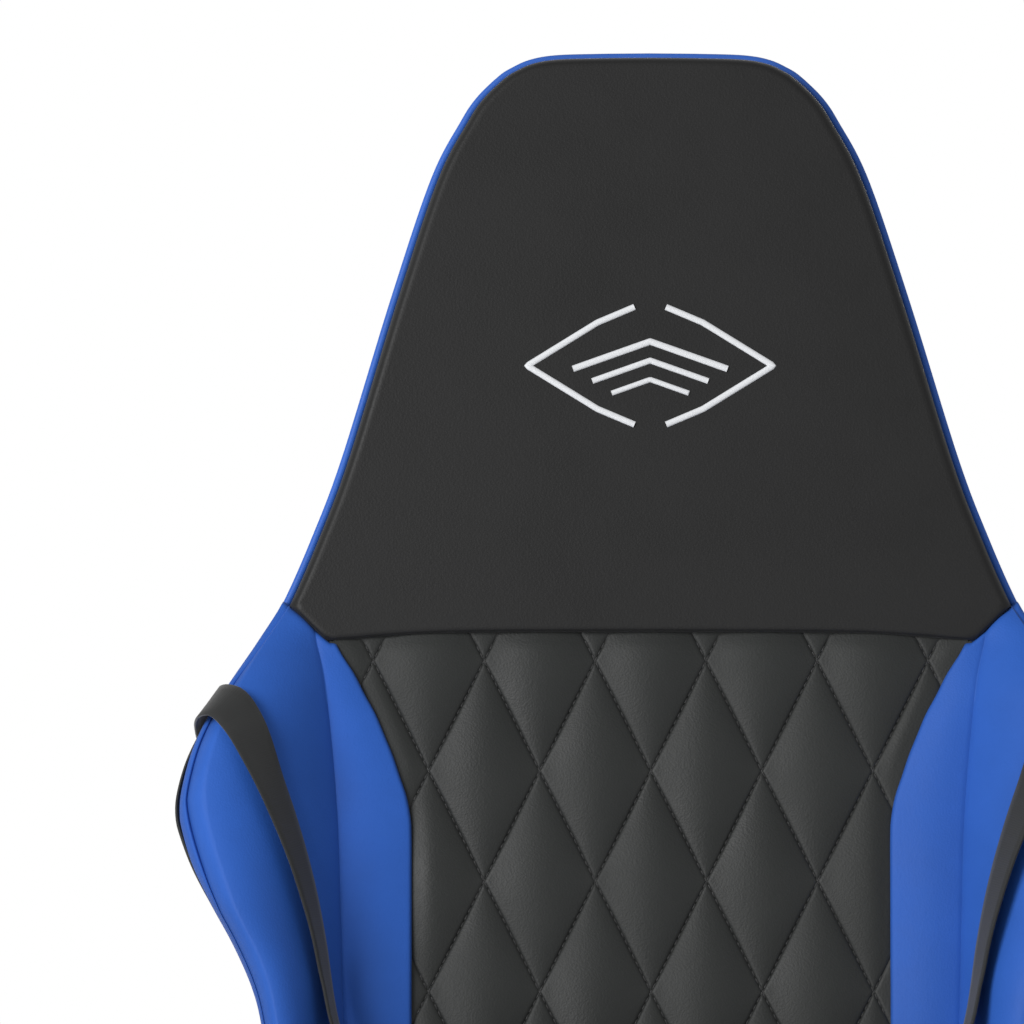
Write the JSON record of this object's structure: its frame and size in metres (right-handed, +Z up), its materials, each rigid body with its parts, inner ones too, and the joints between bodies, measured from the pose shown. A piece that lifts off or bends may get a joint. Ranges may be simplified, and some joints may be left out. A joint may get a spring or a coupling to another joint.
{
  "type": "gaming chair",
  "caption": "Racing-style swivel chair with a reclining winged bucket back, quilted centre panel, lumbar cushion, height-adjustable armrests and a star base on casters.",
  "frame": {"origin": "on the floor under the gas column's axis, centre of the chair's footprint", "axes": "+Z up, +X to the sitter's left, the sitter faces -Y"},
  "size_m": [0.6852, 0.7194, 1.2557],
  "materials": {
    "nylon": "glass-filled nylon, fine moulded grain",
    "tread": "polyurethane, matt",
    "steel": "bright drawn steel",
    "painted_steel": "black powder coat, satin",
    "plywood": "bare birch plywood",
    "black_leather": "black synthetic leather, fine pebble grain, soft sheen",
    "blue_leather": "blue synthetic leather, fine pebble grain, soft sheen",
    "webbing": "woven black webbing",
    "arm_pad": "soft polyurethane skin, matt"
  },
  "bodies": {
    "base": {"star_base": "nylon", "column_tube": "painted_steel", "cover_lower": "nylon"},
    "middle_cover": {"cover_middle": "nylon"},
    "piston": {"piston_rod": "steel", "thrust_bearing": "steel"},
    "mechanism": {"gas_cylinder": "steel", "mechanism_housing": "painted_steel", "cover_upper": "nylon", "tilt_pin": "steel"},
    "height_lever": {"height_lever": "nylon"},
    "tension_knob": {"tension_knob": "nylon"},
    "seat": {"tilt_plate": "painted_steel", "seat_board": "plywood", "seat_cushion": "black_leather", "seat_bolster_left": "blue_leather", "seat_bolster_right": "blue_leather", "recliner_bracket_left": "painted_steel", "recliner_bracket_right": "painted_steel", "recliner_cover_left": "nylon", "recliner_cover_right": "nylon", "armrest_bracket_left": "nylon", "armrest_bracket_right": "nylon"},
    "recline_lever": {"recline_lever": "nylon", "recline_rod": "steel"},
    "back": {"back_frame": "painted_steel", "rear_shell": "black_leather", "head_pad": "black_leather", "quilted_pad": "black_leather", "wing_left": "blue_leather", "wing_right": "blue_leather", "shoulder_strap_left": "webbing", "shoulder_strap_right": "webbing"},
    "lumbar": {"lumbar_cushion": "blue_leather"},
    "armrest_left": {"armrest_post_left": "nylon", "armrest_pad_left": "arm_pad"},
    "button_left": {"armrest_button_left": "nylon"},
    "armrest_right": {"armrest_post_right": "nylon", "armrest_pad_right": "arm_pad"},
    "button_right": {"armrest_button_right": "nylon"},
    "caster_1": {"caster_housing_1": "nylon", "caster_axle_1": "steel"},
    "wheel_1_a": {"caster_wheel_1_a": "tread"},
    "wheel_1_b": {"caster_wheel_1_b": "tread"},
    "caster_2": {"caster_housing_2": "nylon", "caster_axle_2": "steel"},
    "wheel_2_a": {"caster_wheel_2_a": "tread"},
    "wheel_2_b": {"caster_wheel_2_b": "tread"},
    "caster_3": {"caster_housing_3": "nylon", "caster_axle_3": "steel"},
    "wheel_3_a": {"caster_wheel_3_a": "tread"},
    "wheel_3_b": {"caster_wheel_3_b": "tread"},
    "caster_4": {"caster_housing_4": "nylon", "caster_axle_4": "steel"},
    "wheel_4_a": {"caster_wheel_4_a": "tread"},
    "wheel_4_b": {"caster_wheel_4_b": "tread"},
    "caster_5": {"caster_housing_5": "nylon", "caster_axle_5": "steel"},
    "wheel_5_a": {"caster_wheel_5_a": "tread"},
    "wheel_5_b": {"caster_wheel_5_b": "tread"}
  },
  "joints": [
    {"name": "armrest_left_button", "type": "slide", "parent": "seat", "child": "button_left", "axis": [-1, 0, 0], "range_m": [0, 0.003], "stiffness_N_per_m": 300, "springref_m": -0.003},
    {"name": "armrest_left_lift", "type": "slide", "parent": "seat", "child": "armrest_left", "axis": [0, 0, 1], "range_m": [-0.03, 0.06]},
    {"name": "armrest_right_button", "type": "slide", "parent": "seat", "child": "button_right", "axis": [1, 0, 0], "range_m": [0, 0.003], "stiffness_N_per_m": 300, "springref_m": -0.003},
    {"name": "armrest_right_lift", "type": "slide", "parent": "seat", "child": "armrest_right", "axis": [0, 0, 1], "range_m": [-0.03, 0.06]},
    {"name": "back_lumbar_slide", "type": "slide", "parent": "back", "child": "lumbar", "axis": [0, 0.1736, 0.9848], "range_m": [-0.02, 0.04]},
    {"name": "back_recline", "type": "hinge", "parent": "seat", "child": "back", "pos_m": [0, 0.19, 0.4229], "axis": [-1, 0, 0], "range_deg": [-8, 50]},
    {"name": "base_swivel", "type": "hinge", "parent": "base", "child": "piston", "pos_m": [0, 0, 0.08], "axis": [0, 0, 1], "continuous": true},
    {"name": "caster_1_swivel", "type": "hinge", "parent": "base", "child": "caster_1", "pos_m": [0, -0.304, 0.06], "axis": [0, 0, 1], "continuous": true},
    {"name": "caster_1_wheel_a", "type": "hinge", "parent": "caster_1", "child": "wheel_1_a", "pos_m": [0, -0.322, 0.025], "axis": [1, 0, 0], "continuous": true},
    {"name": "caster_1_wheel_b", "type": "hinge", "parent": "caster_1", "child": "wheel_1_b", "pos_m": [0, -0.322, 0.025], "axis": [1, 0, 0], "continuous": true},
    {"name": "caster_2_swivel", "type": "hinge", "parent": "base", "child": "caster_2", "pos_m": [0.28912, -0.09394, 0.06], "axis": [0, 0, 1], "continuous": true},
    {"name": "caster_2_wheel_a", "type": "hinge", "parent": "caster_2", "child": "wheel_2_a", "pos_m": [0.30624, -0.0995, 0.025], "axis": [0.309, 0.9511, 0], "continuous": true},
    {"name": "caster_2_wheel_b", "type": "hinge", "parent": "caster_2", "child": "wheel_2_b", "pos_m": [0.30624, -0.0995, 0.025], "axis": [0.309, 0.9511, 0], "continuous": true},
    {"name": "caster_3_swivel", "type": "hinge", "parent": "base", "child": "caster_3", "pos_m": [0.17869, 0.24594, 0.06], "axis": [0, 0, 1], "continuous": true},
    {"name": "caster_3_wheel_a", "type": "hinge", "parent": "caster_3", "child": "wheel_3_a", "pos_m": [0.18927, 0.2605, 0.025], "axis": [-0.809, 0.5878, 0], "continuous": true},
    {"name": "caster_3_wheel_b", "type": "hinge", "parent": "caster_3", "child": "wheel_3_b", "pos_m": [0.18927, 0.2605, 0.025], "axis": [-0.809, 0.5878, 0], "continuous": true},
    {"name": "caster_4_swivel", "type": "hinge", "parent": "base", "child": "caster_4", "pos_m": [-0.17869, 0.24594, 0.06], "axis": [0, 0, 1], "continuous": true},
    {"name": "caster_4_wheel_a", "type": "hinge", "parent": "caster_4", "child": "wheel_4_a", "pos_m": [-0.18927, 0.2605, 0.025], "axis": [-0.809, -0.5878, 0], "continuous": true},
    {"name": "caster_4_wheel_b", "type": "hinge", "parent": "caster_4", "child": "wheel_4_b", "pos_m": [-0.18927, 0.2605, 0.025], "axis": [-0.809, -0.5878, 0], "continuous": true},
    {"name": "caster_5_swivel", "type": "hinge", "parent": "base", "child": "caster_5", "pos_m": [-0.28912, -0.09394, 0.06], "axis": [0, 0, 1], "continuous": true},
    {"name": "caster_5_wheel_a", "type": "hinge", "parent": "caster_5", "child": "wheel_5_a", "pos_m": [-0.30624, -0.0995, 0.025], "axis": [0.309, -0.9511, 0], "continuous": true},
    {"name": "caster_5_wheel_b", "type": "hinge", "parent": "caster_5", "child": "wheel_5_b", "pos_m": [-0.30624, -0.0995, 0.025], "axis": [0.309, -0.9511, 0], "continuous": true},
    {"name": "gas_lift", "type": "slide", "parent": "piston", "child": "mechanism", "axis": [0, 0, 1], "range_m": [0, 0.08]},
    {"name": "height_lever", "type": "hinge", "parent": "mechanism", "child": "height_lever", "pos_m": [-0.048, -0.04, 0.3105], "axis": [0, 1, 0], "range_deg": [0, 6], "stiffness_Nm_per_rad": 1, "springref_deg": -8.59},
    {"name": "middle_cover_slide", "type": "slide", "parent": "base", "child": "middle_cover", "axis": [0, 0, 1], "range_m": [0, 0.04]},
    {"name": "recline_lever", "type": "hinge", "parent": "seat", "child": "recline_lever", "pos_m": [-0.25, 0.19, 0.4229], "axis": [-1, 0, 0], "range_deg": [0, 25], "stiffness_Nm_per_rad": 3, "springref_deg": -11.46},
    {"name": "seat_tilt", "type": "hinge", "parent": "mechanism", "child": "seat", "pos_m": [0, -0.076, 0.3315], "axis": [-1, 0, 0], "range_deg": [0, 12], "stiffness_Nm_per_rad": 120, "springref_deg": -22.92},
    {"name": "tension_knob", "type": "hinge", "parent": "mechanism", "child": "tension_knob", "pos_m": [0, -0.067, 0.28], "axis": [0, 0, 1], "range_deg": [-360, 360]}
  ],
  "couplings": [
    {"joint": "middle_cover_slide", "follows": "gas_lift", "ratio": 0.5}
  ]
}
